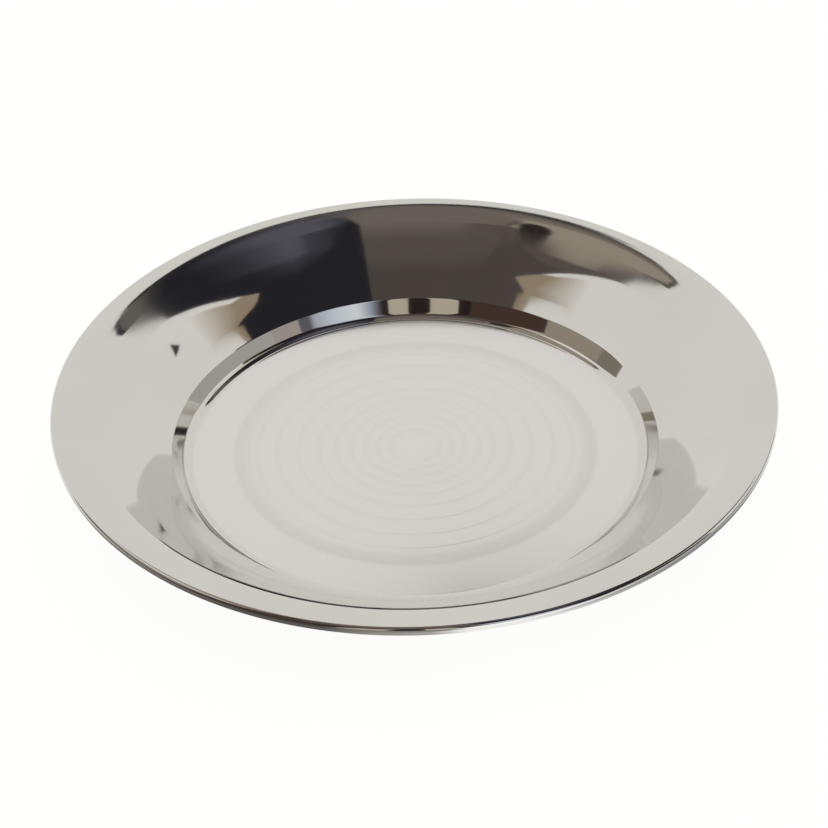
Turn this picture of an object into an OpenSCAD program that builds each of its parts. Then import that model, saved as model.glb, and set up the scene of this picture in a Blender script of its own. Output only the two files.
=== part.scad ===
// Thali plate: one round pressing of stainless sheet.
// A flat base, a short steep step around it, a wide flared wall that bends
// outward a little halfway up, and a lip that rounds over quickly, then levels
// off slowly toward an edge rolled outward and under into an open curl.
// Millimetres. +Z is up. The origin is the middle of the base's underside,
// so the plate stands on the plane z = 0.

/* [Sheet] */
// Thickness of the sheet
sheet_t = 0.5; // [0.4:0.05:0.6]

/* [Base] */
// Diameter at which the line of the base meets the line of the step
base_d = 143; // [120:1:146]
// Radius of the hollow fillet between base and step, on the upper face
base_fillet = 3.4; // [1.5:0.1:4]

/* [Step] */
// Height of the step above the base
step_h = 5.1; // [4:0.1:6.5]
// Slope of the step, degrees from level
step_angle = 54; // [50:1:62]
// Radius of the round over the step's top edge, on the upper face
step_round = 1.6; // [1.2:0.1:2.5]

/* [Wall] */
// Slope of the wall's lower part, degrees from level
wall_foot_angle = 40.3; // [36:0.1:46]
// Diameter at which the wall's gentle bend begins
bend_start_d = 159.4; // [158:0.2:165]
// Diameter at which the bend ends
bend_end_d = 185.4; // [175:0.2:188]
// Slope of the wall's upper part, degrees from level
wall_top_angle = 32.1; // [24:0.1:34]
// Diameter at which the lip's round begins
wall_top_d = 196.4; // [190:0.2:200]

/* [Rim] */
// Diameter over the rolled rim
plate_d = 220; // [216:1:240]
// Diameter at which the quick round of the lip ends and the slow one begins
lip_d = 205.2; // [204:0.2:207]
// Slope of the lip there, degrees from level
lip_angle = 12.5; // [10:0.5:16]
// Slope of the lip where the roll begins, degrees from level
edge_angle = 5; // [3:0.5:8]
// Outside diameter of the roll
bead_d = 2.6; // [2.4:0.1:3.6]
// How far the edge of the sheet is rolled round past level, degrees
curl_angle = 285; // [180:5:285]

/* [Hidden] */

// corners of the upper face where the lines of base, step and wall would meet
r_base = base_d / 2;
z_base = sheet_t;
r_step = r_base + step_h / tan(step_angle);
z_step = z_base + step_h;

// lengths from a corner to where its round touches
base_tan = base_fillet * tan(step_angle / 2);
step_tan = step_round * tan((step_angle - wall_foot_angle) / 2);

// where the step's round ends and the wall begins
r_foot = r_step + step_tan * cos(wall_foot_angle);
z_foot = z_step + step_tan * sin(wall_foot_angle);

// the wall runs straight from its foot to the bend, and straight again after it
r_bend = bend_start_d / 2;
z_bend = z_foot + (r_bend - r_foot) * tan(wall_foot_angle);
bend_round = (bend_end_d - bend_start_d) / 2 / (sin(wall_foot_angle) - sin(wall_top_angle));
z_bend_end = z_bend + bend_round * (cos(wall_top_angle) - cos(wall_foot_angle));
r_wall = wall_top_d / 2;
z_wall = z_bend_end + (r_wall - bend_end_d / 2) * tan(wall_top_angle);

// the lip's quick round takes the wall's slope down to the lip's
r_lip = lip_d / 2;
lip_round = (r_lip - r_wall) / (sin(wall_top_angle) - sin(lip_angle));
z_lip = z_wall + lip_round * (cos(lip_angle) - cos(wall_top_angle));

// its slow round runs on from there to where the roll begins
r_roll = (plate_d - bead_d) / 2 - bead_d / 2 * sin(edge_angle);
edge_round = (r_roll - r_lip) / (sin(lip_angle) - sin(edge_angle));
z_roll = z_lip + edge_round * (cos(edge_angle) - cos(lip_angle));

// One station on the upper face is [radius, height, slope].
// A round that starts at p with slope a0 and ends with slope a1:
// a slope that grows bends the face upward, one that falls bends it downward.
function turn(p, a0, a1, rad, n) =
    let (s = a1 > a0 ? 1 : -1,
         cx = p[0] - s * rad * sin(a0),
         cz = p[1] + s * rad * cos(a0))
    [for (i = [0 : n])
        let (a = a0 + (a1 - a0) * i / n)
        [cx + s * rad * sin(a), cz - s * rad * cos(a), a]];

// All of a run of stations but its first, which the run before it ends with
function tail(run) = [for (i = [1 : len(run) - 1]) run[i]];

// The upper face from the axis out to the free edge of the roll.
stations = concat(
    [[0, z_base, 0]],
    turn([r_base - base_tan, z_base], 0, step_angle, base_fillet, 14),
    turn([r_step - step_tan * cos(step_angle), z_step - step_tan * sin(step_angle)],
         step_angle, wall_foot_angle, step_round, 6),
    turn([r_bend, z_bend], wall_foot_angle, wall_top_angle, bend_round, 10),
    turn([r_wall, z_wall], wall_top_angle, lip_angle, lip_round, 10),
    tail(turn([r_lip, z_lip], lip_angle, edge_angle, edge_round, 8)),
    tail(turn([r_roll, z_roll], edge_angle, -curl_angle, bead_d / 2, 48)));

// The sheet's section: the upper face, and the lower face one thickness under it
upper = [for (s = stations) [s[0], s[1]]];
lower = [for (i = [len(stations) - 1 : -1 : 0])
    let (s = stations[i])
    [max(0, s[0] + sheet_t * sin(s[2])), s[1] - sheet_t * cos(s[2])]];

module plate() {
    color([0.80, 0.79, 0.77])
        rotate_extrude($fn = 180)
            polygon(concat(upper, lower));
}

plate();
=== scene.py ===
import math

import bpy
import numpy as np
from mathutils import Matrix, Vector


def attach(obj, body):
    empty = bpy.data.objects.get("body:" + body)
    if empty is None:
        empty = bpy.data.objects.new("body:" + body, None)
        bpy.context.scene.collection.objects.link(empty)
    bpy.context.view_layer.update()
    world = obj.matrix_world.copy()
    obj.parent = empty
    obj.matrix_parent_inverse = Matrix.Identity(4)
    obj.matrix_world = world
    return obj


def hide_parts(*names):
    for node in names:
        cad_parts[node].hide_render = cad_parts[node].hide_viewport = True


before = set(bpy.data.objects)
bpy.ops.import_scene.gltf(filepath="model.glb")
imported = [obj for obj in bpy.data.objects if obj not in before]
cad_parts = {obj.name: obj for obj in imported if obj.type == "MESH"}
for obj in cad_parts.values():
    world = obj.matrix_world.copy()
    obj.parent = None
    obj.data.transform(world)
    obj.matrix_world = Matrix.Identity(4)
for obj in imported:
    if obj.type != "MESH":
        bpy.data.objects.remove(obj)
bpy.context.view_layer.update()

MM = 0.001
SEG = 256            # segments round the axis

# --------------------------------------------------------------------------
# the sheet's section, in millimetres: the same lines as the CAD part
# --------------------------------------------------------------------------
SHEET = 0.5
BASE_D, BASE_FILLET = 143.0, 3.4
STEP_H, STEP_A, STEP_ROUND = 5.1, 54.0, 1.6
FOOT_A, BEND0_D, BEND1_D = 40.3, 159.4, 185.4
TOP_A, TOP_D = 32.1, 196.4
PLATE_D, LIP_D, LIP_A, EDGE_A = 220.0, 205.2, 12.5, 5.0
BEAD_D, CURL_A = 2.6, 285.0


def sind(a):
    return math.sin(math.radians(a))


def cosd(a):
    return math.cos(math.radians(a))


def tand(a):
    return math.tan(math.radians(a))


def turn(p, a0, a1, rad, n):
    """Stations [radius, height, slope] along a round that starts at p."""
    s = 1 if a1 > a0 else -1
    cx = p[0] - s * rad * sind(a0)
    cz = p[1] + s * rad * cosd(a0)
    out = []
    for i in range(n + 1):
        a = a0 + (a1 - a0) * i / n
        out.append((cx + s * rad * sind(a), cz - s * rad * cosd(a), a))
    return out


def straight(p, q, n):
    """Stations strictly between two stations on a straight run."""
    return [(p[0] + (q[0] - p[0]) * i / n, p[1] + (q[1] - p[1]) * i / n, p[2]) for i in range(1, n)]


r_base, z_base = BASE_D / 2, SHEET
r_step, z_step = r_base + STEP_H / tand(STEP_A), z_base + STEP_H
base_tan = BASE_FILLET * tand(STEP_A / 2)
step_tan = STEP_ROUND * tand((STEP_A - FOOT_A) / 2)
r_foot, z_foot = r_step + step_tan * cosd(FOOT_A), z_step + step_tan * sind(FOOT_A)
r_bend = BEND0_D / 2
z_bend = z_foot + (r_bend - r_foot) * tand(FOOT_A)
bend_round = (BEND1_D - BEND0_D) / 2 / (sind(FOOT_A) - sind(TOP_A))
z_bend_end = z_bend + bend_round * (cosd(TOP_A) - cosd(FOOT_A))
r_wall = TOP_D / 2
z_wall = z_bend_end + (r_wall - BEND1_D / 2) * tand(TOP_A)
r_lip = LIP_D / 2
lip_round = (r_lip - r_wall) / (sind(TOP_A) - sind(LIP_A))
z_lip = z_wall + lip_round * (cosd(LIP_A) - cosd(TOP_A))
r_roll = (PLATE_D - BEAD_D) / 2 - BEAD_D / 2 * sind(EDGE_A)
edge_round = (r_roll - r_lip) / (sind(LIP_A) - sind(EDGE_A))
z_roll = z_lip + edge_round * (cosd(EDGE_A) - cosd(LIP_A))

fillet = turn((r_base - base_tan, z_base), 0, STEP_A, BASE_FILLET, 18)
step = turn((r_step - step_tan * cosd(STEP_A), z_step - step_tan * sind(STEP_A)), STEP_A, FOOT_A, STEP_ROUND, 8)
bend = turn((r_bend, z_bend), FOOT_A, TOP_A, bend_round, 16)
lip = turn((r_wall, z_wall), TOP_A, LIP_A, lip_round, 14)
edge = turn((r_lip, z_lip), LIP_A, EDGE_A, edge_round, 10)[1:]
roll = turn((r_roll, z_roll), EDGE_A, -CURL_A, BEAD_D / 2, 48)[1:]
flank = (fillet + straight(fillet[-1], step[0], 4) + step + straight(step[-1], bend[0], 4)
         + bend + straight(bend[-1], lip[0], 4) + lip + edge + roll)

# the base's upper face: turned rings, shallow grooves cut a little way into it
RINGS = [(0.110, 0.55, 0.012), (0.165, 0.50, 0.010), (0.220, 0.50, 0.010), (0.280, 0.55, 0.010), (0.345, 0.55, 0.010),
         (0.420, 0.60, 0.010), (0.510, 0.60, 0.010), (0.605, 0.60, 0.009), (0.690, 0.60, 0.008)]
face = [(0.0, z_base, 0.0), (2.0, z_base, 0.0), (5.0, z_base, 0.0)]
for frac, half, deep in RINGS:
    c = frac * r_base
    for i in range(9):
        u = -1 + i / 4
        face.append((c + u * half, z_base - deep * (1 + math.cos(math.pi * u)) / 2,
                     math.degrees(math.atan(deep * math.pi / (2 * half) * math.sin(math.pi * u)))))
face += [(0.80 * r_base, z_base, 0.0), (0.92 * r_base, z_base, 0.0)]

upper = face + flank
under = [(s[0] + SHEET * sind(s[2]), s[1] - SHEET * cosd(s[2]), s[2])
         for s in [(0.0, z_base, 0.0), (20.0, z_base, 0.0), (45.0, z_base, 0.0), (60.0, z_base, 0.0)] + flank]

# the free edge of the sheet inside the roll is rounded off
tip = roll[-1]
hem = []
for i in range(1, 8):
    b = math.pi * i / 8
    k = SHEET / 2 * (1 - math.cos(b))
    out = SHEET / 2 * math.sin(b)
    hem.append((tip[0] + k * sind(tip[2]) + out * cosd(tip[2]), tip[1] - k * cosd(tip[2]) + out * sind(tip[2]), tip[2], b))


def normal_up(a):
    return (-sind(a), cosd(a))


section = [(s[0], s[1], *normal_up(s[2])) for s in upper]
for r, z, a, b in hem:
    n, t = normal_up(a), (cosd(a), sind(a))
    section.append((r, z, n[0] * math.cos(b) + t[0] * math.sin(b), n[1] * math.cos(b) + t[1] * math.sin(b)))
for s in reversed(under):
    n = normal_up(s[2])
    section.append((s[0], s[1], -n[0], -n[1]))


def lathe(name, section):
    """A closed body of revolution with exact normals; the section starts and ends on the axis."""
    ang = np.arange(SEG) * (2 * math.pi / SEG)
    ca, sa = np.cos(ang), np.sin(ang)
    verts, norms, rings = [], [], []
    for r, z, nr, nz in section:
        if r < 1e-6:
            rings.append([len(verts)])
            verts.append((0.0, 0.0, z * MM))
            norms.append((0.0, 0.0, 1.0 if nz > 0 else -1.0))
        else:
            rings.append(list(range(len(verts), len(verts) + SEG)))
            for k in range(SEG):
                verts.append((r * ca[k] * MM, r * sa[k] * MM, z * MM))
                norms.append((nr * ca[k], nr * sa[k], nz))
    faces = []
    for a, b in zip(rings[:-1], rings[1:]):
        for k in range(SEG):
            j = (k + 1) % SEG
            if len(a) == 1:
                faces.append((a[0], b[k], b[j]))
            elif len(b) == 1:
                faces.append((a[k], b[0], a[j]))
            else:
                faces.append((a[k], b[k], b[j], a[j]))
    mesh = bpy.data.meshes.new(name)
    mesh.from_pydata(verts, [], faces)
    mesh.validate()
    mesh.polygons.foreach_set("use_smooth", [True] * len(mesh.polygons))
    mesh.normals_split_custom_set_from_vertices(norms)
    mesh.update()
    obj = bpy.data.objects.new(name, mesh)
    bpy.context.scene.collection.objects.link(obj)
    return obj


plate = lathe("plate_shell", section)


# --------------------------------------------------------------------------
# stainless steel: polished wall, step and rim; satin base with turning marks
# --------------------------------------------------------------------------
def node(tree, kind, **props):
    n = tree.nodes.new(kind)
    for k, v in props.items():
        setattr(n, k, v)
    return n


def math_node(tree, op, a, b=None, c=None, clamp=False):
    n = node(tree, "ShaderNodeMath", operation=op, use_clamp=clamp)
    for i, v in enumerate((a, b, c)):
        if v is None:
            continue
        if isinstance(v, (int, float)):
            n.inputs[i].default_value = v
        else:
            tree.links.new(v, n.inputs[i])
    return n.outputs[0]


def map_range(tree, value, a, b, c, d, kind="SMOOTHSTEP"):
    n = node(tree, "ShaderNodeMapRange", interpolation_type=kind)
    tree.links.new(value, n.inputs["Value"])
    for k, v in (("From Min", a), ("From Max", b), ("To Min", c), ("To Max", d)):
        n.inputs[k].default_value = v
    return n.outputs["Result"]


def steel():
    mat = bpy.data.materials.new("stainless_steel")
    mat.use_nodes = True
    t = mat.node_tree
    t.nodes.clear()
    out = node(t, "ShaderNodeOutputMaterial")
    bsdf = node(t, "ShaderNodeBsdfPrincipled")
    t.links.new(bsdf.outputs[0], out.inputs[0])
    bsdf.inputs["Metallic"].default_value = 1.0
    bsdf.inputs["IOR"].default_value = 1.5

    tc = node(t, "ShaderNodeTexCoord")
    flat = node(t, "ShaderNodeVectorMath", operation="MULTIPLY")
    flat.inputs[1].default_value = (1.0, 1.0, 0.0)
    t.links.new(tc.outputs["Object"], flat.inputs[0])
    length = node(t, "ShaderNodeVectorMath", operation="LENGTH")
    t.links.new(flat.outputs[0], length.inputs[0])
    rad = length.outputs["Value"]

    # 1 on the satin base, 0 on the polished step, wall and rim
    satin = map_range(t, rad, 0.0688, 0.0697, 1.0, 0.0)

    # the satin base scatters part of the light, the polished metal none
    t.links.new(map_range(t, satin, 0.0, 1.0, 1.0, 0.7, "LINEAR"), bsdf.inputs["Metallic"])

    # turning marks: noise that depends on the radius alone
    ring = node(t, "ShaderNodeTexNoise", noise_dimensions="1D")
    ring.inputs["Scale"].default_value = 2600.0
    ring.inputs["Detail"].default_value = 3.0
    t.links.new(rad, ring.inputs["W"])
    ring_fac = ring.outputs["Fac"]

    # the wall's faint polish marks and smudges
    smear = node(t, "ShaderNodeTexNoise")
    smear.inputs["Scale"].default_value = 34.0
    smear.inputs["Detail"].default_value = 5.0
    t.links.new(tc.outputs["Object"], smear.inputs["Vector"])
    smear_fac = smear.outputs["Fac"]

    # tone of the base across its radius, painted shade: the colour is darker in the turned rings and in one broad band,
    # standing in for the darker reflection the steel shows there
    shade_ramp = node(t, "ShaderNodeValToRGB")
    stops = shade_ramp.color_ramp.elements
    stops[0].position, stops[0].color = 0.0, (1.0, 1.0, 1.0, 1.0)
    stops[1].position, stops[1].color = 0.798, (0.985, 0.985, 0.985, 1.0)
    for frac, half, deep in RINGS:
        for at, v in ((frac - 0.019, 0.985), (frac, 0.953), (frac + 0.019, 0.985)):
            stops.new(at).color = (v, v, v, 1.0)
    for at, v in ((0.745, 0.94), (0.784, 0.922)):
        stops.new(at).color = (v, v, v, 1.0)
    t.links.new(math_node(t, "DIVIDE", rad, r_base * MM), shade_ramp.inputs[0])

    # roughness
    wall_r = map_range(t, smear_fac, 0.35, 0.75, 0.045, 0.065, "LINEAR")
    band = math_node(t, "MULTIPLY",
                     map_range(t, rad, 0.0505, 0.0525, 0.0, 1.0),
                     map_range(t, rad, 0.0560, 0.0580, 1.0, 0.0))
    base_r = math_node(t, "ADD", map_range(t, ring_fac, 0.3, 0.7, 0.115, 0.145, "LINEAR"),
                       math_node(t, "MULTIPLY", band, 0.035))
    mix = node(t, "ShaderNodeMix", data_type="FLOAT")
    t.links.new(satin, mix.inputs[0])
    t.links.new(wall_r, mix.inputs[2])
    t.links.new(base_r, mix.inputs[3])
    t.links.new(mix.outputs[0], bsdf.inputs["Roughness"])

    # colour: a neutral, slightly warm steel that varies a little; the satin base is paler
    wall_c = node(t, "ShaderNodeMix", data_type="RGBA")
    t.links.new(map_range(t, smear_fac, 0.3, 0.7, 0.0, 1.0, "LINEAR"), wall_c.inputs[0])
    wall_c.inputs[6].default_value = (0.730, 0.720, 0.700, 1.0)
    wall_c.inputs[7].default_value = (0.760, 0.750, 0.730, 1.0)
    # the satin base colour, multiplied by the painted shade of the rings and the band
    base_c = node(t, "ShaderNodeMix", data_type="RGBA", blend_type="MULTIPLY")
    base_c.inputs[0].default_value = 1.0
    base_c.inputs[6].default_value = (0.795, 0.788, 0.780, 1.0)
    t.links.new(shade_ramp.outputs["Color"], base_c.inputs[7])
    col = node(t, "ShaderNodeMix", data_type="RGBA")
    t.links.new(satin, col.inputs[0])
    t.links.new(wall_c.outputs[2], col.inputs[6])
    t.links.new(base_c.outputs[2], col.inputs[7])
    t.links.new(col.outputs[2], bsdf.inputs["Base Color"])

    # relief of the turning marks
    bump = node(t, "ShaderNodeBump")
    bump.inputs["Distance"].default_value = 0.00002
    t.links.new(math_node(t, "MULTIPLY", ring_fac, satin), bump.inputs["Height"])
    bump.inputs["Strength"].default_value = 0.07
    t.links.new(bump.outputs["Normal"], bsdf.inputs["Normal"])
    return mat


plate.data.materials.append(steel())
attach(plate, "root")
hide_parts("plate")


# --------------------------------------------------------------------------
# stage: floor, pale surroundings, and the dark room that the polished steel mirrors
# --------------------------------------------------------------------------
def floor():
    s = 4.0
    mesh = bpy.data.meshes.new("floor")
    mesh.from_pydata([(-s, -s, 0), (s, -s, 0), (s, s, 0), (-s, s, 0)], [], [(0, 1, 2, 3)])
    obj = bpy.data.objects.new("floor", mesh)
    obj.location = (0, 0, -0.0003)
    bpy.context.scene.collection.objects.link(obj)
    mat = bpy.data.materials.new("floor")
    mat.use_nodes = True
    t = mat.node_tree
    t.nodes.clear()
    out = node(t, "ShaderNodeOutputMaterial")
    dif = node(t, "ShaderNodeBsdfDiffuse")
    dif.inputs["Color"].default_value = (0.06, 0.06, 0.06, 1.0)
    em = node(t, "ShaderNodeEmission")
    em.inputs["Color"].default_value = (1.0, 1.0, 0.995, 1.0)
    em.inputs["Strength"].default_value = 0.945
    both = node(t, "ShaderNodeAddShader")
    t.links.new(dif.outputs[0], both.inputs[0])
    t.links.new(em.outputs[0], both.inputs[1])
    clear = node(t, "ShaderNodeBsdfTransparent")
    geo = node(t, "ShaderNodeNewGeometry")
    mix = node(t, "ShaderNodeMixShader")
    t.links.new(geo.outputs["Backfacing"], mix.inputs[0])
    t.links.new(both.outputs[0], mix.inputs[1])
    t.links.new(clear.outputs[0], mix.inputs[2])
    t.links.new(mix.outputs[0], out.inputs[0])
    mesh.materials.append(mat)
    return obj


def glow(name, colour):
    mat = bpy.data.materials.new(name)
    mat.use_nodes = True
    t = mat.node_tree
    t.nodes.clear()
    out = node(t, "ShaderNodeOutputMaterial")
    em = node(t, "ShaderNodeEmission")
    em.inputs["Color"].default_value = (*colour, 1.0)
    em.inputs["Strength"].default_value = 1.0
    t.links.new(em.outputs[0], out.inputs[0])
    return mat


def mirrored_only(name, verts, faces, colour):
    """A stage mesh that only mirrored rays see."""
    mesh = bpy.data.meshes.new(name)
    mesh.from_pydata(verts, [], faces)
    mesh.materials.append(glow(name, colour))
    obj = bpy.data.objects.new(name, mesh)
    bpy.context.scene.collection.objects.link(obj)
    obj.visible_camera = False
    obj.visible_diffuse = False
    obj.visible_shadow = False
    obj.visible_transmission = False
    obj.visible_volume_scatter = False
    return obj


def card(name, outline, z, colour):
    """A level polygon."""
    return mirrored_only(name, [(x, y, z) for x, y in outline], [tuple(range(len(outline)))], colour)


def soft_glow(name):
    """Light whose colour is stored at the corners of a mesh and blends between them."""
    mat = bpy.data.materials.new(name)
    mat.use_nodes = True
    t = mat.node_tree
    t.nodes.clear()
    out = node(t, "ShaderNodeOutputMaterial")
    em = node(t, "ShaderNodeEmission")
    em.inputs["Strength"].default_value = 1.0
    tint = node(t, "ShaderNodeVertexColor", layer_name="tone")
    t.links.new(tint.outputs["Color"], em.inputs["Color"])
    t.links.new(em.outputs[0], out.inputs[0])
    return mat


def curve(points, x):
    return float(np.interp(x, [p[0] for p in points], [p[1] for p in points]))


def veil(name, h0, h1, low, high, colour, radius=2.2):
    """Part of a dome between two headings; low and high give the elevation for a heading."""
    n = max(2, int(abs(h1 - h0) / 1.5) + 1)
    rows = 6
    verts, faces = [], []
    for i in range(n + 1):
        h = h0 + (h1 - h0) * i / n
        a, b = low(h), high(h)
        for k in range(rows + 1):
            e = a + (b - a) * k / rows
            verts.append((radius * cosd(e) * sind(h), radius * cosd(e) * cosd(h), radius * sind(e)))
    w = rows + 1
    for i in range(n):
        for k in range(rows):
            faces.append((i * w + k, i * w + k + 1, (i + 1) * w + k + 1, (i + 1) * w + k))
    return mirrored_only(name, verts, faces, colour)


def tone(r, g, b):
    """Light that a mirrored patch of this display colour needs."""
    def lin(v):
        v /= 255.0
        return v / 12.92 if v <= 0.04045 else ((v + 0.055) / 1.055) ** 2.4
    return (lin(r) / 0.745, lin(g) / 0.735, lin(b) / 0.715)


floor()

# the camera's place, and what it sees mirrored in the wall
THETA, DIST, FOCAL, TX, TY, ROLL, UNIT = 37.7965, 5.5, 1936.8259, -0.0006, 0.1478, -1.8359, 0.110
eye = Vector((0.0, -cosd(THETA) * DIST, sind(THETA) * DIST))
place = eye * UNIT + Vector((0, 0, SHEET * MM))
H = 1.3205           # height of the cards overhead
inside = [s for s in flank if s[2] >= EDGE_A]


def seen(az, r):
    """Where a point of the wall, at an azimuth from the back and a radius, looks on the plane z = H."""
    z = curve([(s[0], s[1]) for s in inside], r)
    a = curve([(s[0], s[2]) for s in inside], r)
    p = Vector((r * sind(az), r * cosd(az), z)) * MM
    n = Vector((-sind(a) * sind(az), -sind(a) * cosd(az), cosd(a)))
    d = (p - place).normalized()
    m = d - 2 * d.dot(n) * n
    t = (H - p.z) / m.z
    return (p.x + t * m.x, p.y + t * m.y)


def patch(name, outline, lift, colour):
    """A card overhead that is mirrored inside an outline of (azimuth, radius) points on the wall."""
    pts = []
    for (a0, r0), (a1, r1) in zip(outline, outline[1:] + outline[:1]):
        n = max(1, int(max(abs(a1 - a0) / 3, abs(r1 - r0) / 1.2)))
        pts += [seen(a0 + (a1 - a0) * i / n, r0 + (r1 - r0) * i / n) for i in range(n)]
    return card(name, pts, H + lift * 0.002, colour)


def blend(name, rows, lift):
    """A sheet overhead between rows of (azimuth, radius) points on the wall; a row has one tone, or one for each point."""
    pts, tones, n = [], [], 8 * (len(rows[0][0]) - 1) + 1
    for outline, colour in rows:
        u = np.linspace(0, len(outline) - 1, n)
        az = np.interp(u, range(len(outline)), [p[0] for p in outline])
        ra = np.interp(u, range(len(outline)), [p[1] for p in outline])
        pts += [(*seen(float(x), float(y)), H + lift * 0.002) for x, y in zip(az, ra)]
        each = colour if isinstance(colour, list) else [colour] * len(outline)
        rgb = [np.interp(u, range(len(each)), [c[k] for c in each]) for k in range(3)]
        tones += [(float(r), float(g), float(b), 1.0) for r, g, b in zip(*rgb)]
    faces = [(k * n + i, k * n + i + 1, (k + 1) * n + i + 1, (k + 1) * n + i) for k in range(len(rows) - 1) for i in range(n - 1)]
    obj = mirrored_only(name, pts, faces, (0.0, 0.0, 0.0))
    layer = obj.data.color_attributes.new("tone", "FLOAT_COLOR", "POINT")
    for i, c in enumerate(tones):
        layer.data[i].color = c
    obj.data.materials.clear()
    obj.data.materials.append(soft_glow(name))
    return obj


NAVY, INK = tone(33, 32, 36), tone(38, 32, 32)
SLATE, SLATE_PALE = tone(52, 52, 58), tone(78, 77, 84)
SMOKE, SMOKE_PALE = tone(52, 50, 49), tone(92, 87, 82)
UMBER_DARK, UMBER, UMBER_PALE = tone(70, 63, 60), tone(79, 72, 67), tone(101, 94, 86)
TAUPE_DARK, TAUPE = tone(80, 73, 67), tone(138, 128, 114)
FAWN, CREAM = tone(136, 122, 102), tone(200, 196, 188)
FOOT_R = 75.29       # just inside the round over the step, so that no gap shows above the step

# the dark room overhead, its outline from its left end over the far edge to the right end and back along the wall's foot
LEFT_END = [(-60, 92.6), (-64, 94.1), (-67.5, 95.8), (-70.2, 98.2), (-70.4, 100.6), (-68.6, 102.4), (-65, 103.5), (-60, 104.0)]
FAR_EDGE = [(-50, 104.5), (-40, 105.0), (-30, 105.4), (-20, 105.6), (0, 105.9), (20, 105.6), (30, 105.4), (40, 105.0)]
RIGHT_END = [(48, 104.5), (54, 103.7), (58, 102.5), (60.2, 100.6), (59.2, 98), (56, 95.7)]
EDGE_RIGHT = [(52, 93.7), (48, 92.1), (44, 91), (40, 89.7), (36, 88.2), (32, 86.4), (28, 84.8), (25.4, 83.6)]
NOTCH_RIGHT = [(27, 82), (28.4, 80.6), (28.8, 79), (27.4, 77.5), (27, FOOT_R)]
NOTCH_LEFT = [(-47, FOOT_R), (-45, 76.5), (-44.4, 77.6), (-46, 78.6), (-46.4, 79.4), (-45.6, 80.2), (-43.5, 81), (-40, 82.3), (-38.2, 83.4)]
EDGE_LEFT = [(-36.8, 85.2), (-40, 86.2), (-44, 87.3), (-48, 88.8), (-52, 90.2), (-56, 91.4)]
patch("room", LEFT_END + FAR_EDGE + RIGHT_END + EDGE_RIGHT + NOTCH_RIGHT + NOTCH_LEFT + EDGE_LEFT, 8, NAVY)
# bluish sheen on the left of it, and its paler left end
blend("slate", [([(-45, 88.5), (-36, 87.5), (-26, 86), (-19, 90), (-13, 96)], NAVY),
                ([(-45, 92), (-36, 91), (-26, 90.3), (-18, 94), (-12.5, 98)], [NAVY, NAVY, SLATE, SLATE, NAVY]),
                ([(-45, 98), (-36, 98), (-26, 97.6), (-18, 99), (-12.2, 100.5)], [NAVY, SLATE, SLATE_PALE, SLATE_PALE, SLATE]),
                ([(-45, 103), (-36, 103), (-26, 103), (-18, 103), (-12, 103)], [NAVY, SLATE, SLATE_PALE, SLATE_PALE, SLATE]),
                ([(-45, 104.3), (-36, 104.7), (-26, 105.1), (-18, 105.3), (-11.8, 105.3)], [NAVY, NAVY, SLATE, SLATE, SLATE])], 7)
blend("smoke", [([(-58, 93.4), (-56, 97), (-54, 101), (-53, 103.6)], NAVY), ([(-60.5, 94.6), (-59, 97.6), (-58, 101), (-57.5, 103.2)], SMOKE),
                ([(-64, 95.6), (-63, 98.5), (-62, 101.4), (-61.5, 102.9)], SMOKE_PALE), ([(-68, 97.2), (-69, 99.4), (-67.6, 102.4), (-64.5, 102.9)], SMOKE_PALE)], 6)
# brown right half
patch("umber", [(-10, FOOT_R), (-10, 98), (-11.5, 105.3), (20, 105.3), (40, 104.5)] + RIGHT_END + EDGE_RIGHT + NOTCH_RIGHT, 7, UMBER_DARK)
blend("umber_up", [([(-9.8, 82), (0, 82), (9, 82), (17, 84)], UMBER_DARK), ([(-9.8, 88), (0, 88), (10, 88), (19, 91)], UMBER),
                   ([(-9.8, 93), (0, 93), (10, 93), (20, 95)], UMBER), ([(-9.9, 97.5), (0, 97), (10, 98), (20, 99)], UMBER_PALE),
                   ([(-11, 105.3), (0, 105.3), (12, 105.3), (20, 105.3)], UMBER_PALE)], 6)
blend("taupe", [([(17, 97.5), (24, 93), (30, 89.5), (36, 88.8), (42, 90.7), (48, 92.4), (53, 94.6), (59, 98.3)], UMBER),
                ([(20, 98.5), (25, 95), (31, 92.2), (37, 91.4), (42, 92.2), (47, 93.8), (52, 96), (58.8, 99)], TAUPE_DARK),
                ([(22, 99.6), (28, 97.5), (34, 95.5), (38, 95), (42, 95), (46, 96), (51, 98), (58.2, 99.8)], TAUPE),
                ([(23, 102), (28, 102), (34, 102), (38, 102), (42, 102), (46, 102), (51, 101.6), (58.6, 100.7)], TAUPE),
                ([(24, 105.2), (28, 105.1), (34, 104.8), (38, 104.6), (42, 104.4), (48, 103.9), (54, 103.5), (59.2, 101.4)], TAUPE_DARK)], 5)
patch("oval", [(26 + 3.5 * cosd(k * 18), 99.4 + (1.8 if k < 10 else 4.2) * sind(k * 18)) for k in range(20)], 1, INK)
patch("hook", [(-65.6, 83.8), (-63.4, 84.5), (-62.2, 85.3), (-64, 87.2), (-64.6, 85.6)], 0, INK)
# soft brown fringes in the notches
blend("fringe_right", [([(24, FOOT_R), (27, 79), (24, 82.5), (24.5, 83.4), (30, 85.8)], FAWN), ([(31, 75.6), (33, 79), (31, 82), (33, 84.4), (35, 86.6)], FAWN),
                       ([(43, 75.6), (43, 79), (43, 82), (43, 85), (43, 89)], CREAM)], 11)
blend("fringe_left", [([(-40, FOOT_R), (-44, 78), (-38, 82.5), (-36.6, 84.8), (-40, 86.4)], FAWN), ([(-47.6, 75.6), (-47.6, 78), (-46, 81), (-44, 83.6), (-44.4, 86)], FAWN),
                      ([(-57, 75.6), (-57, 78), (-56, 81), (-56, 84), (-55, 89)], CREAM)], 11)

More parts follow.
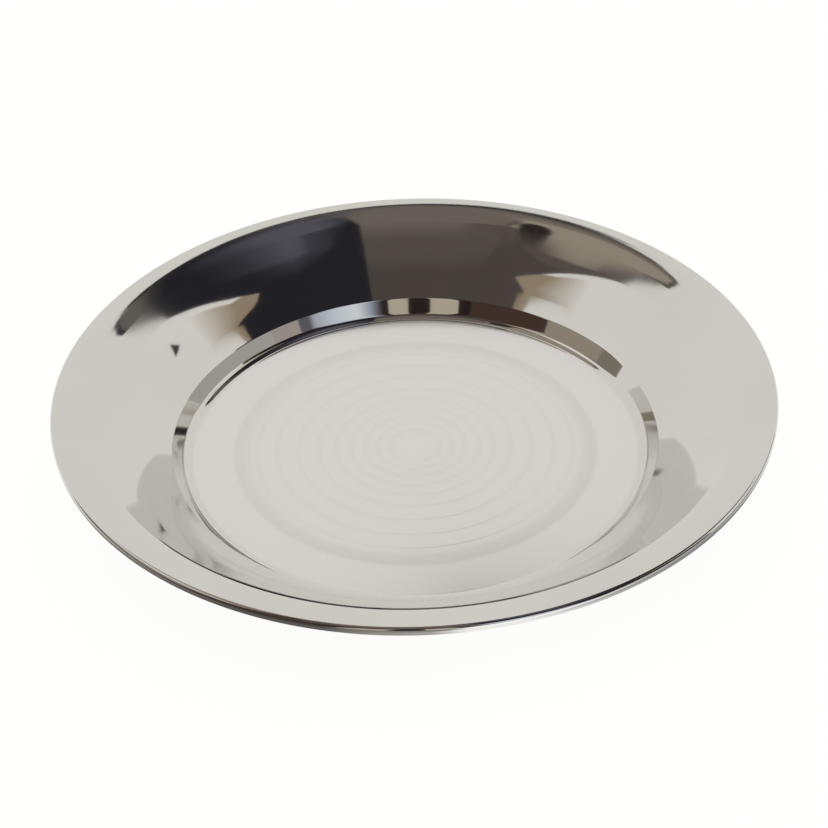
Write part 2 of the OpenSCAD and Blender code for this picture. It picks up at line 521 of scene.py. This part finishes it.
# the near side of the room, by heading from the back, clockwise: upright strips
# that the step mirrors, from the lowest it sees up to where the wall's view begins
STEP_ELEV = [(45, 1.5), (49, 3.8), (55.9, 7.4), (61, 10.3), (68, 13.7), (75, 17.0), (83.8, 20.7), (91.4, 23.7), (99.2, 26.5), (107.3, 29.0),
             (115.7, 31.4), (124.4, 33.5), (133.3, 35.3), (142.5, 36.8), (151.9, 38.1), (161.5, 38.9), (171, 39.4), (180, 39.6)]
FOOT_ELEV = [(45, 19.5), (48.8, 22.5), (54.7, 27.2), (62.1, 33.0), (71.6, 39.8), (80.4, 45.4), (94, 52.8), (113.4, 60.0), (138.6, 65.4), (180, 68.2)]


def strip_low(h):
    return curve(STEP_ELEV, min(h, 360 - h)) - 5.5


def foot_line(h):
    return curve(FOOT_ELEV, min(h, 360 - h)) + curve([(76, -4.0), (84, 0.4), (246, 0.4), (254, -4.0)], h)


def strip_top(h):
    return foot_line(h) - curve([(55, 9.0), (66, 12.0), (75, 15.0), (84, 22.0), (92, 24.0), (125, 24.0), (134, 0.0)], h)


def outline_low(h):
    return foot_line(h) - curve([(78, 0.0), (88, 23.0), (125, 24.0), (134, 0.0)], h)


GREY, GREY_WARM, GAP = tone(152, 149, 144), tone(147, 139, 131), tone(84, 82, 86)
HAZE, WINDOW, WINDOW_PALE, SOOT = tone(150, 155, 165), tone(180, 186, 194), tone(198, 201, 204), tone(36, 29, 28)
TAN, BROWN, STONE, STONE_DARK = tone(165, 155, 138), tone(62, 47, 41), tone(135, 126, 112), tone(114, 107, 96)
STRIPS = [(55.2, 108.2, GREY), (108.2, 122.2, GREY_WARM), (122.2, 127.5, GAP), (165.5, 168.4, INK),
          (168.4, 178.6, TAN), (178.6, 190.2, SOOT), (190.2, 204.7, TAN), (204.7, 211.0, SOOT),
          (211.0, 249.8, BROWN), (249.8, 279.0, STONE), (279.0, 291.3, STONE_DARK)]
for i, (h0, h1, colour) in enumerate(STRIPS):
    veil(f"strip_{i:02d}", h0, h1, strip_low, strip_top, colour)
veil("outline", 78.0, 134.0, outline_low, foot_line, INK)

# lower still, the front of the rolled rim mirrors the same room, and the floor near the plate:
# brightness by heading, brown on the left and neutral on the right
LOW = [(56, 0.6), (66, 0.25), (84, 0.3), (116, 0.6), (142, 1.2), (166, 1.2), (173, 0.3), (200, 0.25), (207, 0.07), (248, 0.07), (276, 0.2), (292, 0.6)]
NEAR = [(92, 0.9), (108, 0.28), (127, 0.3), (145, 0.55), (160, 1.1), (172, 1.1), (178, 0.48), (188, 0.36), (197, 0.14), (216, 0.12), (246, 0.26), (264, 0.9)]


def soft_band(name, h0, h1, tint, rings):
    """A soft band round the plate; tint gives its colour and rings the points of its two edges for a heading."""
    n = int(h1 - h0)
    pts, tones = [], []
    for i in range(n + 1):
        h = h0 + (h1 - h0) * i / n
        for p in rings(h):
            pts.append(p)
            tones.append((*tint(h), 1.0))
    faces = [(2 * i, 2 * i + 1, 2 * i + 3, 2 * i + 2) for i in range(n)]
    obj = mirrored_only(name, pts, faces, (0.0, 0.0, 0.0))
    layer = obj.data.color_attributes.new("tone", "FLOAT_COLOR", "POINT")
    for i, c in enumerate(tones):
        layer.data[i].color = c
    obj.data.materials.clear()
    obj.data.materials.append(soft_glow(name))
    return obj


def warmed(levels, h):
    v = curve(levels, h)
    warm = curve([(165, 1.0), (200, 0.85), (250, 0.85), (285, 1.0)], h)
    return (v, v * (1 + warm) / 2, v * warm)


def mixed(stops, h):
    return tuple(curve([(at, colour[k]) for at, colour in stops], h) for k in range(3))


def dome(h, e, radius=2.2):
    return (radius * cosd(e) * sind(h), radius * cosd(e) * cosd(h), radius * sind(e))


soft_band("low_round", 56, 292, lambda h: warmed(LOW, h), lambda h: (dome(h, -0.5), dome(h, strip_low(h))))
soft_band("near_floor", 92, 264, lambda h: warmed(NEAR, h),
          lambda h: ((0.09 * sind(h), 0.09 * cosd(h), -0.0001), (2.3 * sind(h), 2.3 * cosd(h), -0.0001)))
# the window among the strips
PANE = [(127.5, GAP), (130, HAZE), (140, WINDOW), (152, WINDOW_PALE), (158, HAZE), (163, GAP), (165.5, INK)]
soft_band("pane", 127.5, 165.5, lambda h: mixed(PANE, h), lambda h: (dome(h, strip_low(h)), dome(h, strip_top(h))))

# --------------------------------------------------------------------------
# world, light, camera
# --------------------------------------------------------------------------
scene = bpy.context.scene
world = bpy.data.worlds.new("studio")
scene.world = world
world.use_nodes = True
bg = world.node_tree.nodes["Background"]
bg.inputs["Color"].default_value = (0.80, 0.785, 0.748, 1.0)
bg.inputs["Strength"].default_value = 1.0


def area(name, loc, size, power, colour=(1, 1, 1)):
    light = bpy.data.lights.new(name, "AREA")
    light.shape = "SQUARE"
    light.size = size
    light.energy = power
    light.color = colour
    obj = bpy.data.objects.new(name, light)
    obj.location = loc
    obj.rotation_mode = "QUATERNION"
    obj.rotation_quaternion = (Vector((0, 0, 0)) - Vector(loc)).to_track_quat("-Z", "Y")
    scene.collection.objects.link(obj)
    obj.visible_glossy = False
    obj.visible_camera = False
    return obj


area("soft_top", (0.2, -0.3, 2.6), 2.4, 15.0)

# camera
aim = Vector((TX, TY, 0.0))
fwd = (aim - eye).normalized()
right = fwd.cross(Vector((0, 0, 1))).normalized()
up = right.cross(fwd)
rr = cosd(ROLL) * right + sind(ROLL) * up
uu = -sind(ROLL) * right + cosd(ROLL) * up
cam = bpy.data.cameras.new("camera")
cam.sensor_fit = "HORIZONTAL"
cam.sensor_width = 36.0
cam.lens = 36.0 * FOCAL / 828.0
cam.clip_start, cam.clip_end = 0.01, 50.0
camera = bpy.data.objects.new("camera", cam)
scene.collection.objects.link(camera)
camera.matrix_world = Matrix(((rr.x, uu.x, -fwd.x, place.x), (rr.y, uu.y, -fwd.y, place.y),
                              (rr.z, uu.z, -fwd.z, place.z), (0, 0, 0, 1)))
scene.camera = camera

scene.view_settings.view_transform = "Standard"
scene.view_settings.look = "None"
